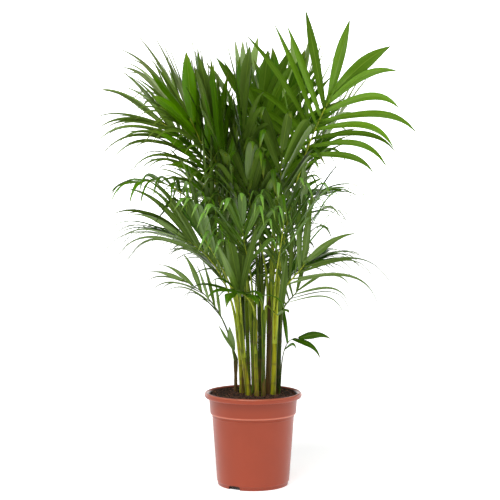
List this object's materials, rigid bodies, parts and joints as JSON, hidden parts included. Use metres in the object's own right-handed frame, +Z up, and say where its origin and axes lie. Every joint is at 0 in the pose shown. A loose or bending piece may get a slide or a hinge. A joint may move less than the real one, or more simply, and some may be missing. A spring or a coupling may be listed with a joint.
{
  "type": "potted areca palm",
  "caption": "Potted areca palm: a clump of slender canes with upright and arching feathery fronds in a stepped, rimmed plastic nursery pot.",
  "frame": {"origin": "middle of the pot's flat underside", "axes": "+Z up along the pot's axis; -Y towards the front of the plant as pictured; +X to the right"},
  "size_m": [0.7038, 0.6359, 1.0206],
  "materials": {
    "pot": "satin moulded terracotta-coloured plastic",
    "soil": "rough dark potting soil",
    "stem": "smooth yellow-green cane with leaf scars",
    "stem_brown": "old brown leaf sheath",
    "frond": "satin green leaf blade"
  },
  "bodies": {
    "root": {"pot": "pot", "soil": "soil", "stem_left_thin": "stem", "stem_left_yellow": "stem", "stem_front_left": "stem", "stem_centre": "stem", "stem_inner": "stem", "stem_front_centre": "stem", "stem_back_left": "stem", "stem_back_centre": "stem", "stem_back_outer": "stem", "stem_middle": "stem", "stem_front_thin": "stem", "stem_brown": "stem_brown", "stem_front_right": "stem", "stem_right": "stem", "stem_back_right": "stem", "frond_top_right": "frond", "frond_top_back_right": "frond", "frond_top_middle": "frond", "frond_top_back": "frond", "frond_top_left": "frond", "frond_upper_left": "frond", "frond_upper_back_left": "frond", "frond_upper_right": "frond", "frond_upper_back_right": "frond", "frond_arching_left": "frond", "frond_arching_front": "frond", "frond_arching_front_right": "frond", "frond_middle_right": "frond", "frond_lower_right": "frond", "frond_low_right": "frond", "frond_middle_left": "frond", "frond_middle_back_left": "frond", "frond_low_left": "frond", "frond_young_left": "frond", "frond_seedling": "frond", "frond_spear_right": "frond", "frond_spear_left": "frond", "frond_low_front": "frond", "frond_back_high": "frond", "frond_back_left_high": "frond", "frond_back_right_high": "frond", "frond_back_low": "frond", "frond_back_left_low": "frond", "frond_back_right_low": "frond", "frond_top_inner_right": "frond", "frond_top_inner": "frond", "frond_top_outer_left": "frond", "frond_fold_left": "frond", "frond_fold_high": "frond", "frond_fold_right": "frond", "frond_upper_left_front": "frond", "frond_fold_top": "frond", "frond_hang_left": "frond", "frond_inner_left": "frond"}
  },
  "joints": []
}
